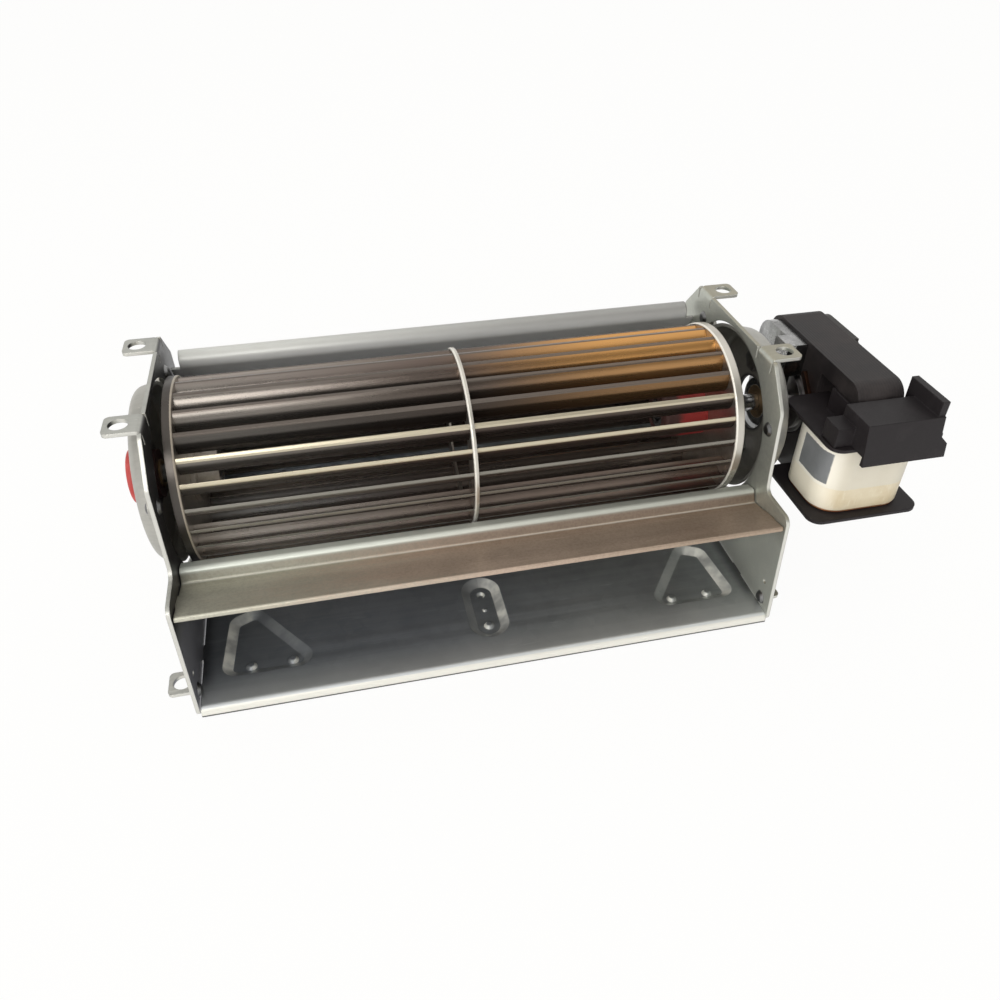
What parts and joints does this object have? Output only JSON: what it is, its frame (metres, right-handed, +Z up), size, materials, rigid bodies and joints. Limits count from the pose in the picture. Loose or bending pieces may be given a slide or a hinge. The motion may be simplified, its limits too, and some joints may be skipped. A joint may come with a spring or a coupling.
{
  "type": "refrigerator fan",
  "caption": "Tangential blower for a refrigerator: curved-blade impeller in a pressed sheet scroll with mounting tabs, driven by a shaded-pole motor at one end.",
  "frame": {"origin": "middle of the four upper mounting holes, on the upper face of their tabs", "axes": "+X along the impeller towards the motor, +Y to the back away from the air outlet, +Z up out of the air inlet"},
  "size_m": [0.2552, 0.1017, 0.0852],
  "materials": {
    "galvanised_sheet": "satin galvanised",
    "rivet_steel": "dull",
    "red_rubber": "matte",
    "sintered_bronze": "matte",
    "black_laminations": "satin",
    "copper": "enamelled copper",
    "cast_zinc": "as cast",
    "black_plastic": "matte",
    "coil_tape": "matte",
    "tinned_brass": "bright",
    "impeller_aluminium": "rolled",
    "shaft_steel": "ground",
    "rotor_metal": "turned"
  },
  "bodies": {
    "housing": {"scroll_housing": "galvanised_sheet", "stabiliser": "galvanised_sheet", "left_side_plate": "galvanised_sheet", "right_side_plate": "galvanised_sheet", "bearing_support": "galvanised_sheet", "motor_support": "galvanised_sheet", "left_support_rivets": "rivet_steel", "right_support_rivets": "rivet_steel", "corner_rivets": "rivet_steel", "bearing_grommet": "red_rubber", "end_bearing": "sintered_bronze", "stator_stack": "black_laminations", "shading_rings": "copper", "inner_bearing_bracket": "cast_zinc", "outer_bearing_bracket": "cast_zinc", "inner_motor_bearing": "sintered_bronze", "outer_motor_bearing": "sintered_bronze", "motor_bolts": "rivet_steel", "motor_nuts": "rivet_steel", "coil_bobbin": "black_plastic", "coil_winding": "copper", "coil_wrap": "coil_tape", "terminal_housing": "black_plastic", "terminals": "tinned_brass"},
    "impeller": {"left_end_disc": "impeller_aluminium", "right_end_disc": "impeller_aluminium", "centre_ring": "impeller_aluminium", "blade_01": "impeller_aluminium", "blade_02": "impeller_aluminium", "blade_03": "impeller_aluminium", "blade_04": "impeller_aluminium", "blade_05": "impeller_aluminium", "blade_06": "impeller_aluminium", "blade_07": "impeller_aluminium", "blade_08": "impeller_aluminium", "blade_09": "impeller_aluminium", "blade_10": "impeller_aluminium", "blade_11": "impeller_aluminium", "blade_12": "impeller_aluminium", "blade_13": "impeller_aluminium", "blade_14": "impeller_aluminium", "blade_15": "impeller_aluminium", "blade_16": "impeller_aluminium", "blade_17": "impeller_aluminium", "blade_18": "impeller_aluminium", "blade_19": "impeller_aluminium", "blade_20": "impeller_aluminium", "blade_21": "impeller_aluminium", "blade_22": "impeller_aluminium", "blade_23": "impeller_aluminium", "blade_24": "impeller_aluminium", "left_boss": "impeller_aluminium", "stub_shaft": "shaft_steel", "elastic_hub": "red_rubber", "hub_sleeve": "shaft_steel", "motor_shaft": "shaft_steel", "rotor": "rotor_metal"}
  },
  "joints": [
    {"name": "impeller_spin", "type": "hinge", "parent": "housing", "child": "impeller", "pos_m": [0, -0.0029, -0.0319], "axis": [1, 0, 0], "continuous": true}
  ]
}
